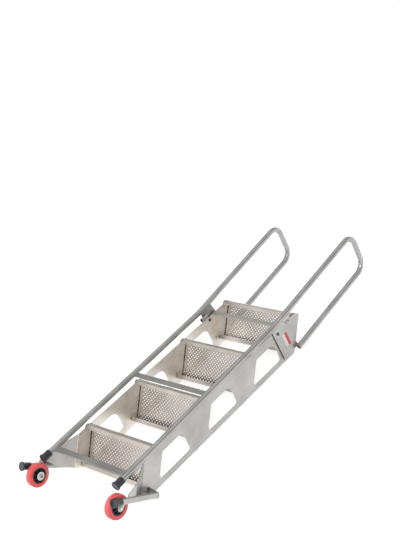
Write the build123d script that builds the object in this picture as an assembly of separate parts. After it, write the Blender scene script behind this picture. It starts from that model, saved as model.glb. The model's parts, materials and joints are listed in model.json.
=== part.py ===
"""Rolling folding step ladder of stainless sheet and tube, folded and laid on its stringers' front edges.

Millimetres. X runs across the ladder, Y along it from the wheels to the handrail loops, Z up.
A point of the side view is given either by (rise, run), the height and depth it has when the ladder
stands open on its feet, or by (y, z) in the part's own frame.
"""
from build123d import *
from math import cos, hypot, radians, sin, tan
import os

os.makedirs("parts", exist_ok=True)

# Steps: pressed channels with a lip, numbered from the floor up
STEP_COUNT = 4
STEP_RISE = 254.0
STEP_RUN = 177.8
FIRST_STEP = 288.0
STEP_OVERHANG = 14.35
STEP_WIDTH = 400.4
STEP_FLANGE = 38.0
STEP_LIP = 19.0
STEP_SHEET = 2.0
STEP_BEND = 4.0

# Stringers: flat sheets with a cut-out between steps and a foot that flares out to the foot tube
STRINGER_SHEET = 3.0
STRINGER_DEPTH = 162.3
STEP_SETBACK = 9.2
STRINGER_ABOVE_STEP = 19.0
STRINGER_CORNER = 14.0
STRINGER_REAR_CUT = 22.4
CUTOUT_ABOVE_STEP = 22.0
CUTOUT_LENGTH = 198.0
CUTOUT_FRONT_RIM = 25.0
CUTOUT_REAR_RIM = 41.0
CUTOUT_LEAN = 6.0
CUTOUT_RADIUS = 12.0
CUTOUT_CROWN_RADIUS = 36.0
FOOT_FRONT = -5.0
FLARE_TOP = 218.0
# lower edges of the two bent strips: height above the floor, run of the sheet's rear edge
FLARE_ROWS = {"flare": (125.0, 57.0), "flange": (82.0, 21.0)}

# Foot tubes with their brackets, rubber caps and wheel ears
TUBE_RADIUS = 12.7
TUBE_WALL = 1.5
FOOT_SPREAD = 80.8
FOOT_TUBE_RUN = 0.6
FOOT_TUBE_TOP = 256.0
FOOT_TUBE_SPLAY = 7.5
FOOT_TUBE_LEAN = 1.2
BRACKET_SHEET = 3.0
BRACKET_ROOT = 20.0
CAP_RADIUS = 17.0
CAP_LENGTH = 42.0
CAP_FLOOR = 8.0
CAP_ROUND = 2.0
EAR_INSET = 20.5
EAR_SHEET = 5.0
EAR_RADIUS = 14.0
EAR_ROOT = 36.0

# Wheels
WHEEL_RADIUS = 50.8
WHEEL_WIDTH = 28.0
HUB_WIDTH = 42.8
AXLE_RISE = 55.7
AXLE_RUN = -29.3
AXLE_RADIUS = 5.0
RUNNING_GAP = 0.05
TYRE_INNER_RADIUS = 33.0
TYRE_SHOULDER = 6.0
HUB_WEB = 12.0
HUB_BOSS_RADIUS = 15.0
HUB_RIM = 5.0
BOLT_HEAD_RADIUS = 8.5
BOLT_HEAD = 6.0

# Rear frame: a leg that bends into the handrail loop on each side, with its plate and latch tube
TUBE_SIDE_GAP = 6.1
LEG_START = 70.6
LEG_STANDOFF = 12.8
LEG_SLOPE = 1.51
LOOP_KINK = 1086.9
LOOP_SLOPE = 7.3
LOOP_REACH = 650.0
LOOP_WIDTH = 192.0
SHORT_LEG_START = 91.6
LOOP_BEND_RADIUS = 55.0
KINK_RADIUS = 150.0
RAIL_PLATE = 3.0
RAIL_PLATE_WIDTH = 74.0
RAIL_PLATE_LAP = 14.0
RAIL_PLATE_TOE = 27.6
RAIL_PLATE_FLOOR_GAP = 10.6
LATCH_TUBE_RADIUS = 9.5
LATCH_TUBE_LENGTH = 37.0
LATCH_TUBE_BEFORE_PIVOT = 12.0
LATCH_TUBE_GAP = 6.0

# Flat cross braces: two between the legs, placed from the legs' lower ends, and one on the stringers
BRACE_WIDTH = 25.0
BRACE_SHEET = 4.0
LEG_BRACES = {"bottom": 70.5, "middle": 565.1}
STRINGER_BRACE_PAST_PIVOT = 36.0
STRINGER_BRACE_INSET = 2.0

# Fold pivot
PIVOT_PAST_KINK = 32.7
PIVOT_INSET = 14.9
PIVOT_RADIUS = 5.0
PIVOT_HEAD_RADIUS = 7.0
PIVOT_HEAD = 2.5
SPACER_RADIUS = 10.0
SIDE_PLAY = 0.3

SIN = STEP_RISE / hypot(STEP_RISE, STEP_RUN)
COS = STEP_RUN / hypot(STEP_RISE, STEP_RUN)
STEP_DEPTH = (STRINGER_DEPTH + STEP_OVERHANG - STEP_SETBACK - STEP_FLANGE * COS) / SIN
FRONT_EDGE = FIRST_STEP * COS + STEP_SETBACK
AXLE_ALONG = AXLE_RISE * SIN + AXLE_RUN * COS
INNER_X = STEP_WIDTH / 2
OUTER_X = INNER_X + STRINGER_SHEET
TUBE_X = OUTER_X + TUBE_SIDE_GAP + TUBE_RADIUS
RAIL_PLATE_X = TUBE_X - TUBE_RADIUS - RAIL_PLATE
FOOT_TUBE_X = OUTER_X + FOOT_SPREAD
EAR_X = FOOT_TUBE_X - EAR_INSET
WHEEL_X = EAR_X - SIDE_PLAY - HUB_WIDTH / 2

# The handrail loop's corners along and above the ladder, before the part is centred
LEG_START_HEIGHT = STRINGER_DEPTH + LEG_STANDOFF
KINK = Vector(LOOP_KINK, LEG_START_HEIGHT + (LOOP_KINK - LEG_START) * tan(radians(LEG_SLOPE)))
LOOP_ALONG = Vector(cos(radians(LOOP_SLOPE)), sin(radians(LOOP_SLOPE)))
LOOP_DOWN = Vector(LOOP_ALONG.Y, -LOOP_ALONG.X)
LOOP_BACK = KINK + LOOP_ALONG * LOOP_REACH
LOOP_FRONT = LOOP_BACK + LOOP_DOWN * LOOP_WIDTH
LOOP_END = KINK + LOOP_ALONG * SHORT_LEG_START + LOOP_DOWN * LOOP_WIDTH
LOOP_FAR = LOOP_FRONT.X - LOOP_BEND_RADIUS * (LOOP_ALONG.X + LOOP_ALONG.Y - 1) + TUBE_RADIUS
MIDDLE = (AXLE_ALONG - WHEEL_RADIUS + LOOP_FAR) / 2
PIVOT = (LOOP_KINK + PIVOT_PAST_KINK - MIDDLE, STRINGER_DEPTH - PIVOT_INSET)


def side(rise, run):
    """Side-view place (y, z) of a point at this height and depth of the open ladder."""
    return (rise * SIN + run * COS - MIDDLE, FRONT_EDGE - rise * COS + run * SIN)


def along(y, z):
    """Side-view place (y, z) of a point measured along the ladder from the floor end."""
    return (y - MIDDLE, z)


def run_at(rise, z):
    """Depth at which a line of this height meets the height z above the stringer's front edge."""
    return (z - FRONT_EDGE + rise * COS) / SIN


def side_face(points, x=0.0):
    """A flat face in the side view at this X, from (y, z) corners."""
    return make_face(Polyline([Vector(x, y, z) for y, z in points], close=True))


def side_plate(points, x, thickness):
    """A plate from (y, z) corners that fills X from x to x + thickness."""
    return extrude(side_face(points, x), amount=thickness, dir=(1, 0, 0))


def level_face(rise, corners):
    """A flat face that is level when the ladder stands open, from (x, run) corners."""
    return make_face(Polyline([Vector(x, *side(rise, run)) for x, run in corners], close=True))


def round_corners(plate, radii):
    """Rounds the edges along X nearest to the given (y, z) corners."""
    for (y, z), radius in radii:
        edges = plate.edges().filter_by(Axis.X)
        near = edges.sort_by(lambda e: (e.center().Y - y) ** 2 + (e.center().Z - z) ** 2)[0]
        plate = fillet(near, radius)
    return plate


def tube(corners, radii, x):
    """A hollow tube along side-view corners joined by bends."""
    points = [Vector(x, y, z) for y, z in corners]
    path = FilletPolyline(*points, radius=radii)
    ring = Circle(TUBE_RADIUS) - Circle(TUBE_RADIUS - TUBE_WALL)
    return sweep(Plane(origin=path @ 0, z_dir=path % 0) * ring, path=path)


def rod(start, end, radius):
    """A solid round bar between two points."""
    axis = Vector(end) - Vector(start)
    return extrude(Plane(origin=start, z_dir=axis) * Circle(radius), amount=axis.length)


def mirrored(shape):
    return mirror(shape, about=Plane.YZ)


def step(number):
    """A lipped channel: its flat face is stood on, its flanges and lips point to the floor."""
    top = FIRST_STEP + number * STEP_RISE
    front = number * STEP_RUN
    rear = front + STEP_DEPTH
    skin = STEP_SHEET
    low = top - STEP_FLANGE
    outline = [
        (top, front), (top, rear), (low, rear), (low, rear - STEP_LIP),
        (low + skin, rear - STEP_LIP), (low + skin, rear - skin), (top - skin, rear - skin),
        (top - skin, front + skin), (low + skin, front + skin), (low + skin, front + STEP_LIP),
        (low, front + STEP_LIP), (low, front),
    ]
    channel = side_plate([side(*p) for p in outline], -INNER_X, STEP_WIDTH)
    corners = [(top, front), (top, rear), (low, rear), (low, front)]
    return round_corners(channel, [(side(*p), STEP_BEND) for p in corners])


def cutout(number):
    """The opening in a stringer above one step, with a rounder corner at its upper back."""
    foot = FIRST_STEP + number * STEP_RISE + CUTOUT_ABOVE_STEP
    low_z, high_z = CUTOUT_FRONT_RIM, STRINGER_DEPTH - CUTOUT_REAR_RIM
    low_y, low_front = side(foot, run_at(foot, low_z))
    high_y, high_rear = side(foot, run_at(foot, high_z))
    far = low_y + CUTOUT_LENGTH
    corners = [(high_y, high_rear), (low_y, low_front), (far, low_z), (far - CUTOUT_LEAN, high_z)]
    block = side_plate(corners, INNER_X - STRINGER_SHEET, 3 * STRINGER_SHEET)
    radii = [CUTOUT_RADIUS, CUTOUT_RADIUS, CUTOUT_RADIUS, CUTOUT_CROWN_RADIUS]
    return round_corners(block, list(zip(corners, radii)))


def foot_run(rise):
    """Depth of the foot tube's axis at this height."""
    return FOOT_TUBE_RUN - rise * tan(radians(FOOT_TUBE_LEAN))


def foot_axis(rise):
    """Place on the right foot tube's axis at this height."""
    x = FOOT_TUBE_X - rise * tan(radians(FOOT_TUBE_SPLAY))
    return Vector(x, *side(rise, foot_run(rise)))


def sheet_section(rise, x, front, rear):
    """Level cut through a bent strip of the stringer's sheet, from its inner face at x."""
    outer = x + STRINGER_SHEET
    return level_face(rise, [(x, front), (x, rear), (outer, rear), (outer, front)])


def flared_foot():
    """The stringer's sheet bent outwards, and bent back to meet the foot tube along its axis."""
    sections = [sheet_section(FLARE_TOP, INNER_X, FOOT_FRONT, run_at(FLARE_TOP, STRINGER_DEPTH))]
    for rise, rear in FLARE_ROWS.values():
        x = foot_axis(rise).X - STRINGER_SHEET / 2
        sections.append(sheet_section(rise, x, foot_run(rise), rear))
    flare, flange = (loft(pair, ruled=True) for pair in zip(sections, sections[1:]))
    return flare + flange - rod(foot_axis(0), foot_axis(FOOT_TUBE_TOP), TUBE_RADIUS)


def stringer():
    """The right-hand stringer: flat sheet, flare and flange in one piece."""
    top = FIRST_STEP + (STEP_COUNT - 1) * STEP_RISE + STRINGER_ABOVE_STEP
    rear = run_at(top, STRINGER_DEPTH) - STRINGER_REAR_CUT
    knee = (FRONT_EDGE + FOOT_FRONT * SIN) / COS
    shoulder = top - STRINGER_REAR_CUT * SIN / COS
    outline = [
        (FLARE_TOP, FOOT_FRONT), (knee, FOOT_FRONT), (top, run_at(top, 0)), (top, rear),
        (shoulder, rear), (FLARE_TOP, run_at(FLARE_TOP, STRINGER_DEPTH)),
    ]
    flat = side_plate([side(*p) for p in outline], INNER_X, STRINGER_SHEET)
    flat = round_corners(flat, [(side(top, run_at(top, 0)), STRINGER_CORNER)])
    for number in range(STEP_COUNT - 1):
        flat -= cutout(number)
    return flat + flared_foot()


def pierced(plate, y, z, radius):
    """Drills a round hole along X through a plate on the right-hand side."""
    return plate - rod((0, y, z), (2 * FOOT_TUBE_X, y, z), radius)


def foot_tube():
    """Splayed tube that stands on the floor when the ladder is open, cut level under its bracket."""
    up = (foot_axis(1) - foot_axis(0)).normalized()
    start = foot_axis(0) + up * CAP_FLOOR
    end = foot_axis(FOOT_TUBE_TOP) + up * 2 * TUBE_RADIUS
    hollow = rod(start, end, TUBE_RADIUS) - rod(start, end, TUBE_RADIUS - TUBE_WALL)
    top = foot_axis(FOOT_TUBE_TOP)
    level_up = Vector(0, SIN, -COS)
    waste = 4 * TUBE_RADIUS
    cutter = Plane(origin=top, z_dir=level_up) * Box(
        waste, waste, waste, align=(Align.CENTER, Align.CENTER, Align.MIN)
    )
    return hollow - cutter


def foot_bracket():
    """Level plate that closes the foot tube's upper end and ties it to the stringer's front."""
    top = foot_axis(FOOT_TUBE_TOP)
    run = foot_run(FOOT_TUBE_TOP)
    corners = [
        (OUTER_X, FOOT_FRONT), (OUTER_X, FOOT_FRONT + BRACKET_ROOT),
        (top.X, run + TUBE_RADIUS), (top.X, run - TUBE_RADIUS),
    ]
    level_up = Vector(0, SIN, -COS)
    web = extrude(level_face(FOOT_TUBE_TOP, corners), amount=BRACKET_SHEET, dir=level_up)
    return web + rod(top, top + level_up * BRACKET_SHEET, TUBE_RADIUS)


def cap(base, direction):
    """Rubber cup pushed over a tube's end; base is the middle of its floor."""
    profile = [
        (0, 0), (CAP_RADIUS, 0), (CAP_RADIUS, CAP_LENGTH), (TUBE_RADIUS, CAP_LENGTH),
        (TUBE_RADIUS, CAP_FLOOR), (0, CAP_FLOOR),
    ]
    face = Plane.XZ * make_face(Polyline([(r, h) for r, h in profile], close=True))
    cup = revolve(face, axis=Axis.Z)
    rim = cup.edges().filter_by(GeomType.CIRCLE).filter_by(lambda e: abs(e.radius - CAP_RADIUS) < 0.01)
    cup = fillet(rim, CAP_ROUND)
    return Plane(origin=base, z_dir=direction) * cup


def wheel_ear():
    """Plate welded to the foot tube that carries the axle bolt, rounded at its end."""
    axle = side(AXLE_RISE, AXLE_RUN)
    lug = rod((EAR_X, *axle), (EAR_X + EAR_SHEET, *axle), EAR_RADIUS)
    root_low = CAP_LENGTH + EAR_SHEET
    root_high = root_low + EAR_ROOT
    web = side_plate(
        [
            side(AXLE_RISE - EAR_RADIUS, AXLE_RUN), side(AXLE_RISE + EAR_RADIUS, AXLE_RUN),
            side(root_high, foot_run(root_high)), side(root_low, foot_run(root_low)),
        ],
        EAR_X, EAR_SHEET,
    )
    ear = lug + web - rod(foot_axis(0), foot_axis(FOOT_TUBE_TOP), TUBE_RADIUS)
    ear = ear.solids().sort_by(lambda s: s.volume)[-1]
    return pierced(ear, *axle, AXLE_RADIUS)


def axle_bolt():
    """Bolt through the ear with its head outside; the wheel turns on its shank."""
    axle = side(AXLE_RISE, AXLE_RUN)
    outer = EAR_X + EAR_SHEET
    tip = WHEEL_X - HUB_WIDTH / 2 - SIDE_PLAY
    shank = rod((tip - BOLT_HEAD, *axle), (outer, *axle), AXLE_RADIUS)
    head = rod((outer, *axle), (outer + BOLT_HEAD, *axle), BOLT_HEAD_RADIUS)
    nut = rod((tip - BOLT_HEAD, *axle), (tip, *axle), BOLT_HEAD_RADIUS)
    return shank + head + nut


def turned(profile, x):
    """A solid of revolution about the right wheel's axle, from (offset along X, radius) corners."""
    axle = side(AXLE_RISE, AXLE_RUN)
    face = make_face(Polyline([Vector(x + dx, axle[0], axle[1] + r) for dx, r in profile], close=True))
    return revolve(face, axis=Axis((x, *axle), (1, 0, 0)))


def tyre():
    half = WHEEL_WIDTH / 2
    profile = [
        (-half, TYRE_INNER_RADIUS), (half, TYRE_INNER_RADIUS), (half, WHEEL_RADIUS - TYRE_SHOULDER),
        (half - TYRE_SHOULDER, WHEEL_RADIUS), (TYRE_SHOULDER - half, WHEEL_RADIUS),
        (-half, WHEEL_RADIUS - TYRE_SHOULDER),
    ]
    return turned(profile, WHEEL_X)


def hub():
    """Moulded hub: boss, thin web and the rim that the tyre is cast on."""
    half, web, rim = HUB_WIDTH / 2, HUB_WEB / 2, TYRE_INNER_RADIUS - HUB_RIM
    band = WHEEL_WIDTH / 2
    bore = AXLE_RADIUS + RUNNING_GAP
    profile = [
        (-half, bore), (half, bore), (half, HUB_BOSS_RADIUS), (web, HUB_BOSS_RADIUS), (web, rim),
        (band, rim), (band, TYRE_INNER_RADIUS), (-band, TYRE_INNER_RADIUS), (-band, rim), (-web, rim),
        (-web, HUB_BOSS_RADIUS), (-half, HUB_BOSS_RADIUS),
    ]
    return turned(profile, WHEEL_X)


def leg_height(y):
    """Height of the leg's axis at this distance along the ladder."""
    return LEG_START_HEIGHT + (y - LEG_START) * tan(radians(LEG_SLOPE))


def rail():
    """One bent tube: leg, handrail loop and the short leg that comes back to the rail plate."""
    first = LEG_START + CAP_FLOOR * cos(radians(LEG_SLOPE))
    start = along(first, leg_height(first))
    corners = [start] + [along(p.X, p.Y) for p in (KINK, LOOP_BACK, LOOP_FRONT, LOOP_END)]
    return tube(corners, [KINK_RADIUS, LOOP_BEND_RADIUS, LOOP_BEND_RADIUS], TUBE_X)


def rail_plate():
    """Plate on the tube's inner side from the kink to the short leg's end, turning on the pivot."""
    wide = KINK + LOOP_ALONG * RAIL_PLATE_WIDTH
    lap = LOOP_END + LOOP_ALONG * RAIL_PLATE_LAP
    toe = Vector(LOOP_KINK + RAIL_PLATE_TOE, RAIL_PLATE_FLOOR_GAP)
    plate = side_plate([along(p.X, p.Y) for p in (KINK, wide, lap, toe)], RAIL_PLATE_X, RAIL_PLATE)
    return pierced(plate, *PIVOT, PIVOT_RADIUS + RUNNING_GAP)


def latch_tube():
    """Short open tube on the rail plate's inner face, behind the stringer's rear edge."""
    x = RAIL_PLATE_X - LATCH_TUBE_RADIUS
    z = STRINGER_DEPTH + LATCH_TUBE_GAP + LATCH_TUBE_RADIUS
    far = PIVOT[0] - LATCH_TUBE_BEFORE_PIVOT
    reach = ((x, far - LATCH_TUBE_LENGTH, z), (x, far, z))
    return rod(*reach, LATCH_TUBE_RADIUS) - rod(*reach, LATCH_TUBE_RADIUS - TUBE_WALL)


def pivot_pin():
    """Headed pin that the rear frame folds on, fixed in the stringer."""
    outer = RAIL_PLATE_X + RAIL_PLATE + SIDE_PLAY
    shank = rod((INNER_X - PIVOT_HEAD, *PIVOT), (outer, *PIVOT), PIVOT_RADIUS)
    head = rod((outer, *PIVOT), (outer + PIVOT_HEAD, *PIVOT), PIVOT_HEAD_RADIUS)
    tail = rod((INNER_X - PIVOT_HEAD, *PIVOT), (INNER_X, *PIVOT), PIVOT_HEAD_RADIUS)
    return shank + head + tail


def pivot_spacer():
    """Bush that keeps the rail plate off the stringer."""
    reach = ((OUTER_X, *PIVOT), (RAIL_PLATE_X - SIDE_PLAY, *PIVOT))
    return rod(*reach, SPACER_RADIUS) - rod(*reach, PIVOT_RADIUS)


def leg_brace(distance):
    """Flat bar welded between the two leg tubes, level with their axes."""
    y = LEG_START + distance
    bar = Box(2 * (TUBE_X - TUBE_RADIUS), BRACE_WIDTH, BRACE_SHEET)
    return Pos(0, *along(y, leg_height(y))) * Rot(LEG_SLOPE, 0, 0) * bar


def stringer_brace():
    """Flat bar welded across both stringers' rear edges behind the last step."""
    bar = Box(2 * (OUTER_X - STRINGER_BRACE_INSET), BRACE_WIDTH, BRACE_SHEET)
    return Pos(0, PIVOT[0] + STRINGER_BRACE_PAST_PIVOT, STRINGER_DEPTH + BRACE_SHEET / 2) * bar


def save(name, shape):
    export_step(shape, f"parts/{name}.step")


def save_pair(name, shape):
    save(f"{name}_right", shape)
    save(f"{name}_left", mirrored(shape))


side_sheet = pierced(stringer(), *PIVOT, PIVOT_RADIUS)
foot_base, foot_up = foot_axis(0), foot_axis(1) - foot_axis(0)
leg_base = Vector(TUBE_X, *along(LEG_START, leg_height(LEG_START)))
leg_up = Vector(0, cos(radians(LEG_SLOPE)), sin(radians(LEG_SLOPE)))

for number in range(STEP_COUNT):
    save(f"step_{number + 1}", step(number))
for name, distance in LEG_BRACES.items():
    save(f"brace_{name}", leg_brace(distance))
save("brace_top", stringer_brace())
for name, shape in (
    ("stringer", side_sheet),
    ("foot_tube", foot_tube()),
    ("foot_bracket", foot_bracket()),
    ("foot_cap", cap(foot_base, foot_up)),
    ("wheel_ear", wheel_ear()),
    ("axle_bolt", axle_bolt()),
    ("tyre", tyre()),
    ("hub", hub()),
    ("rail", rail()),
    ("leg_cap", cap(leg_base, leg_up)),
    ("rail_plate", rail_plate()),
    ("latch_tube", latch_tube()),
    ("pivot_pin", pivot_pin()),
    ("pivot_spacer", pivot_spacer()),
):
    save_pair(name, shape)
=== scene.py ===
import bmesh
import bpy
import json
from math import cos, hypot, pi, radians, sin, tan
from mathutils import Matrix, Vector


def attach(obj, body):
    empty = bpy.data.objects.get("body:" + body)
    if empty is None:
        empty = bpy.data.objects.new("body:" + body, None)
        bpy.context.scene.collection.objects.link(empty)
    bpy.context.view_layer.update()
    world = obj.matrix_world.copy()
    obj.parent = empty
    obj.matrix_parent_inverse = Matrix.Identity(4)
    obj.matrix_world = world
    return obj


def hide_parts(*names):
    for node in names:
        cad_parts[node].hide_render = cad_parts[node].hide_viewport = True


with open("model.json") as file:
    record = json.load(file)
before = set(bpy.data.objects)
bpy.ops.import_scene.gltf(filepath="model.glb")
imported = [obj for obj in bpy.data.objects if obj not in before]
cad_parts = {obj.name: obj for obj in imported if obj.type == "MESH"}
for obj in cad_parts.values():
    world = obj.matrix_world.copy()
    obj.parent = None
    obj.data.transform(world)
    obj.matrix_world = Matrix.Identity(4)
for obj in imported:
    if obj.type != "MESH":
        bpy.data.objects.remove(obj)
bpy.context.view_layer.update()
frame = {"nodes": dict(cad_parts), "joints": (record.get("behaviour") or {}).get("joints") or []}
nodes = frame["nodes"]
scene = bpy.context.scene

# Sizes of the ladder in metres
STEP_RISE, STEP_RUN, FIRST_STEP = 0.2540, 0.1778, 0.2880
STEP_COUNT, STEP_DEPTH, STEP_WIDTH = 4, 0.1778, 0.4004
STEP_FLANGE, STEP_LIP, STEP_SHEET, STEP_BEND = 0.038, 0.019, 0.002, 0.004
STRINGER_SHEET, STRINGER_DEPTH, STEP_SETBACK = 0.003, 0.1623, 0.0092
TUBE_RADIUS, TUBE_X = 0.0127, 0.2220
FOOT_TUBE_X, FOOT_TUBE_RUN, FOOT_TUBE_TOP = 0.2840, 0.0006, 0.2560
FOOT_TUBE_SPLAY, FOOT_TUBE_LEAN = radians(7.5), radians(1.2)
FOOT_FRONT, BRACKET_ROOT = -0.0050, 0.0200
FLANGE_LOW, FLANGE_HIGH, FLARE_TOP = 0.0820, 0.1250, 0.2180
LEG_START, LEG_STANDOFF, LEG_SLOPE = 0.0706, 0.0128, radians(1.51)
LOOP_KINK, LOOP_SLOPE, LOOP_WIDTH, SHORT_LEG_START = 1.0869, radians(7.3), 0.1920, 0.0916
RAIL_PLATE_WIDTH = 0.0740
CAP_LENGTH, CAP_FLOOR = 0.0420, 0.0080
WHEEL_RADIUS, WHEEL_WIDTH, TYRE_INNER_RADIUS = 0.0508, 0.0280, 0.0330
HUB_WIDTH, HUB_BOSS_RADIUS, HUB_WEB, HUB_RIM = 0.0428, 0.0150, 0.0120, 0.0050
AXLE_RADIUS, AXLE_CLEARANCE, SIDE_PLAY = 0.0050, 0.00005, 0.0003
EAR_SHEET, BOLT_HEAD, BOLT_HEAD_RADIUS = 0.0050, 0.0060, 0.0085
LEG_BRACES, BRACE_WIDTH, BRACE_SHEET = (0.0705, 0.5651), 0.0250, 0.0040
SIN = STEP_RISE / hypot(STEP_RISE, STEP_RUN)
COS = STEP_RUN / hypot(STEP_RISE, STEP_RUN)
FRONT_EDGE = FIRST_STEP * COS + STEP_SETBACK
INNER_X = STEP_WIDTH / 2
OUTER_X = INNER_X + STRINGER_SHEET
PLATE_FACE_X = TUBE_X - TUBE_RADIUS
JOINTS = {joint["name"]: joint for joint in frame["joints"]}
PIVOT = Vector(JOINTS["fold"]["pos_m"])
AXLE = Vector(JOINTS["wheel_right_spin"]["pos_m"])

# The axle's place in the open ladder ties the side view to the part's own frame
AXLE_RISE, AXLE_RUN = 0.0557, -0.0293
MIDDLE = AXLE_RISE * SIN + AXLE_RUN * COS - AXLE.y


def side(x, rise, run):
    """Place in the part's frame of a point at this height and depth of the open ladder."""
    return Vector((x, rise * SIN + run * COS - MIDDLE, FRONT_EDGE - rise * COS + run * SIN))


def foot_axis(sign, rise):
    """Place on a foot tube's axis at this height of the open ladder."""
    run = FOOT_TUBE_RUN - rise * tan(FOOT_TUBE_LEAN)
    return side(sign * (FOOT_TUBE_X - rise * tan(FOOT_TUBE_SPLAY)), rise, run)


def leg_axis(sign, distance):
    """Place on a leg tube's axis at this distance along the ladder from the leg's lower end."""
    height = STRINGER_DEPTH + LEG_STANDOFF + distance * tan(LEG_SLOPE)
    return Vector((sign * TUBE_X, LEG_START + distance - MIDDLE, height))


def loop_point(x, along, down):
    """Place in the plane of a handrail loop, along its upper tube from the kink and down from its axis."""
    kink = leg_axis(1, LOOP_KINK - LEG_START)
    y = kink.y + along * cos(LOOP_SLOPE) + down * sin(LOOP_SLOPE)
    return Vector((x, y, kink.z + along * sin(LOOP_SLOPE) - down * cos(LOOP_SLOPE)))


def from_pivot(x, along, up):
    """Place at this distance along the ladder and up from the fold pivot."""
    return Vector((x, PIVOT.y + along, PIVOT.z + up))


# Node helpers for procedural materials
def fill_ramp(node, stops):
    """Sets a colour ramp to (position, colour) stops. A new ramp has two already."""
    elements = node.color_ramp.elements
    for index, (position, color) in enumerate(stops):
        stop = elements[index] if index < 2 else elements.new(position)
        stop.position = position
        stop.color = (*color, 1)


class Nodes:
    """A material's node tree with short calls for the nodes that the finishes share."""

    def __init__(self, name):
        self.material = bpy.data.materials.new(name)
        self.material.use_nodes = True
        self.tree = self.material.node_tree
        self.shader = self.tree.nodes["Principled BSDF"]
        self.place = self.add("ShaderNodeTexCoord").outputs["Object"]

    def add(self, kind, **values):
        node = self.tree.nodes.new(kind)
        for key, value in values.items():
            setattr(node, key, value)
        return node

    def link(self, source, target):
        self.tree.links.new(source, target)

    def stretched(self, scale):
        """The place in the part's frame, scaled by axis."""
        mapping = self.add("ShaderNodeMapping")
        mapping.inputs["Scale"].default_value = scale
        self.link(self.place, mapping.inputs["Vector"])
        return mapping.outputs["Vector"]

    def noise(self, scale, detail, stretch=(1, 1, 1)):
        node = self.add("ShaderNodeTexNoise")
        node.inputs["Scale"].default_value = scale
        node.inputs["Detail"].default_value = detail
        self.link(self.stretched(stretch), node.inputs["Vector"])
        return node.outputs["Fac"]

    def ramp(self, factor, stops):
        """Colours along a factor, from (position, colour) stops."""
        node = self.add("ShaderNodeValToRGB")
        fill_ramp(node, stops)
        self.link(factor, node.inputs["Fac"])
        return node.outputs["Color"]

    def math(self, operation, first, second=None):
        node = self.add("ShaderNodeMath", operation=operation)
        for socket, value in zip(node.inputs, (first, second)):
            if value is None:
                continue
            if isinstance(value, (int, float)):
                socket.default_value = value
            else:
                self.link(value, socket)
        return node.outputs["Value"]

    def spread(self, factor, low, high):
        """Maps a factor from 0..1 to low..high."""
        node = self.add("ShaderNodeMapRange")
        node.inputs["To Min"].default_value = low
        node.inputs["To Max"].default_value = high
        self.link(factor, node.inputs["Value"])
        return node.outputs["Result"]

    def mix(self, factor, first, second, blend="MIX"):
        """Blends two colours, which the node takes at inputs 6 and 7 and gives at output 2."""
        node = self.add("ShaderNodeMix", data_type="RGBA", blend_type=blend)
        for socket, value in zip((node.inputs[0], node.inputs[6], node.inputs[7]), (factor, first, second)):
            if isinstance(value, float):
                socket.default_value = value
            elif isinstance(value, tuple):
                socket.default_value = (*value, 1)
            else:
                self.link(value, socket)
        return node.outputs[2]

    def bump(self, height, strength, distance):
        node = self.add("ShaderNodeBump")
        node.inputs["Strength"].default_value = strength
        node.inputs["Distance"].default_value = distance
        self.link(height, node.inputs["Height"])
        self.link(node.outputs["Normal"], self.shader.inputs["Normal"])


# Scales, shares, depths and tints of the finishes
CLOUD_SCALE, CLOUD_DETAIL, CLOUD_SHARE = 9.0, 4.0, 0.75
GRAIN_SCALE, GRAIN_DETAIL = 60.0, 4.0
TONE_LOW, TONE_HIGH = 0.32, 0.68
GRAIN_SMOOTHER, GRAIN_ROUGHER = 0.07, 0.09
GRAIN_BUMP, GRAIN_DEPTH = 0.12, 0.0004
# Painted light: gain on the colour of the sheets' inner faces, standing in for light that falls on them
INNER_PAINTED_LIGHT = (1.76, 1.71, 1.65)
TINT_REACH, TINT_SCALE, TINT_DETAIL = 0.052, 26.0, 5.0
TINT_STOPS = ((0.18, (1, 1, 1)), (0.36, (0.97, 0.91, 0.80)), (0.62, (0.72, 0.60, 0.48)))
PATCH_SCALE, PATCH_DETAIL, PATCH_LOW, PATCH_HIGH = 18.0, 3.0, 0.35, 0.7
PEBBLE_DETAIL, PEBBLE_SPREAD, PEBBLE_BUMP = 5.0, 0.1, 0.25


def steel(name, dark, light, grain, roughness, tint_and_inner_light=0.0):
    """Brushed stainless: cloudy tone and fine grain along one axis, with a heat tint and painted light on the
    inner faces where asked for.
    """
    kit = Nodes(name)
    cloud = kit.noise(CLOUD_SCALE, CLOUD_DETAIL)
    lines = kit.noise(GRAIN_SCALE, GRAIN_DETAIL, grain)
    blend = kit.math("ADD", kit.math("MULTIPLY", cloud, CLOUD_SHARE),
                     kit.math("MULTIPLY", lines, 1 - CLOUD_SHARE))
    tone = kit.ramp(blend, [(TONE_LOW, dark), (TONE_HIGH, light)])
    if tint_and_inner_light:
        tone = heat_tint_and_painted_light(kit, tone, tint_and_inner_light)
    kit.shader.inputs["Metallic"].default_value = 1.0
    kit.link(tone, kit.shader.inputs["Base Color"])
    rough = kit.spread(lines, roughness - GRAIN_SMOOTHER, roughness + GRAIN_ROUGHER)
    kit.link(rough, kit.shader.inputs["Roughness"])
    kit.bump(lines, GRAIN_BUMP, GRAIN_DEPTH)
    return kit.material


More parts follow.
